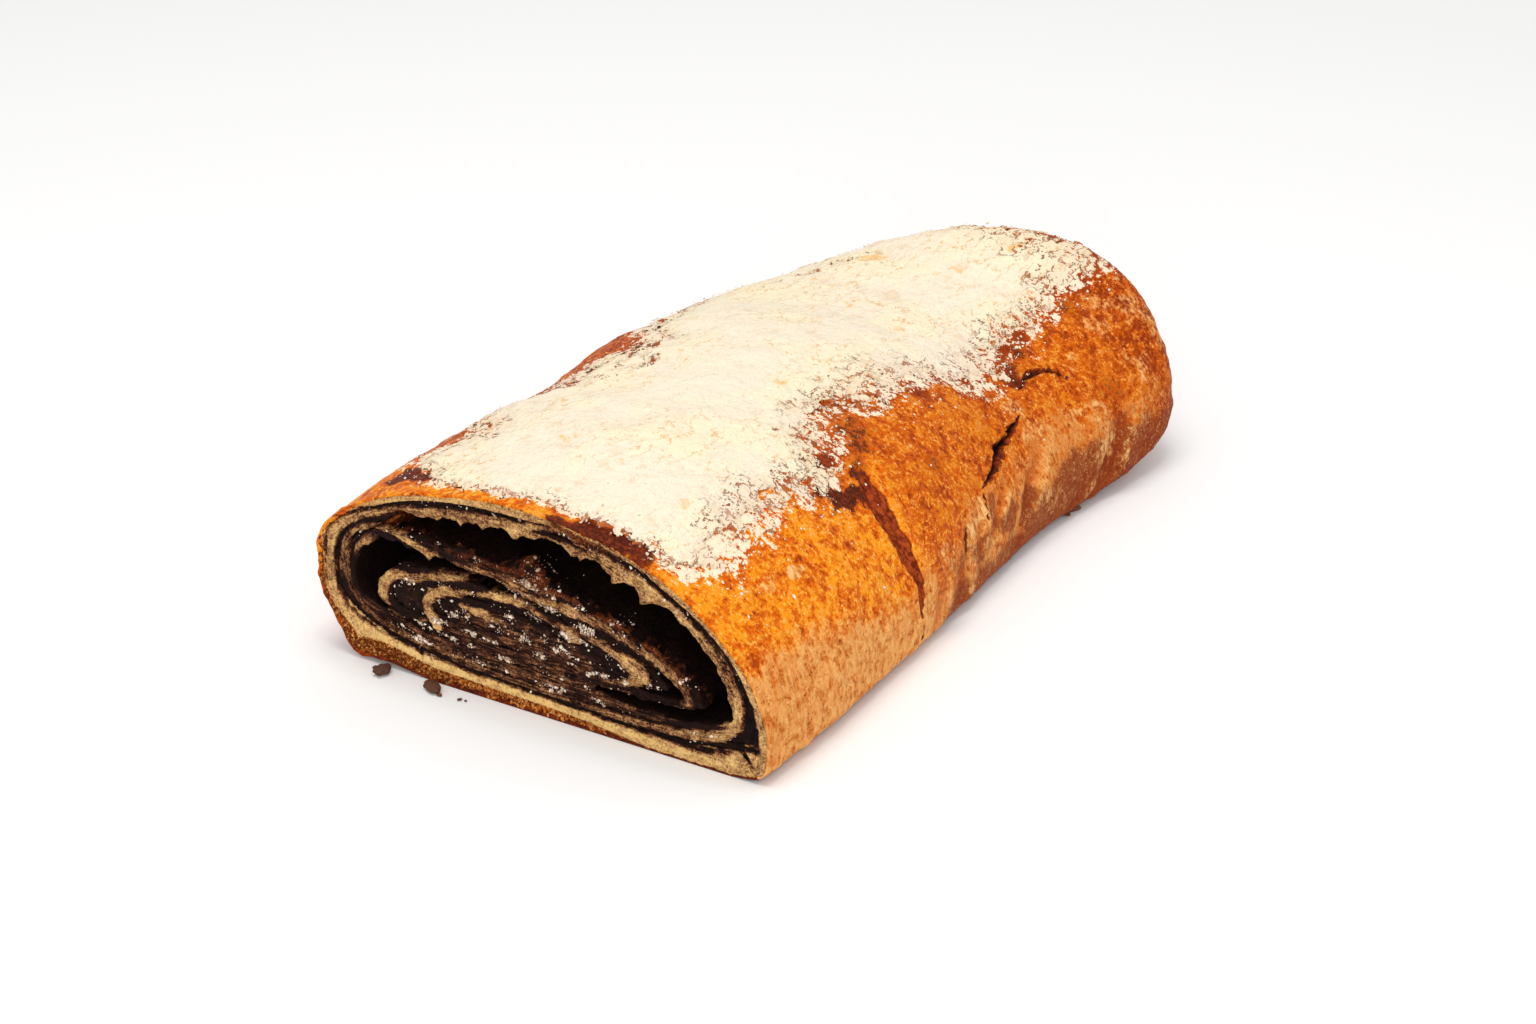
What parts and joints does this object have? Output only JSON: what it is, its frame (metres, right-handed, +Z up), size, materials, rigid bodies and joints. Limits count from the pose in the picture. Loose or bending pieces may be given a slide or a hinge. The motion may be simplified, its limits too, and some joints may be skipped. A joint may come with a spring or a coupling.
{
  "type": "kokosh",
  "caption": "Flattened roll of baked yeast dough wound round dark chocolate, cut flat at one end, with icing sugar over its rounded top.",
  "frame": {"origin": "under the middle of the loaf's bounding box, on the surface that it lies on", "axes": "+Y along the roll from the cut to the closed end, +X to the right when facing the cut, +Z up"},
  "size_m": [0.1222, 0.203, 0.0551],
  "materials": {
    "baked_crust": "satin golden-brown baked crust, with pale beige crumb at the cut",
    "dark_chocolate": "dense dark chocolate paste, slightly glossy",
    "white_sugar": "matte clumped icing sugar"
  },
  "bodies": {
    "root": {"dough": "baked_crust", "chocolate_filling": "dark_chocolate", "icing_sugar": "white_sugar"}
  },
  "joints": []
}
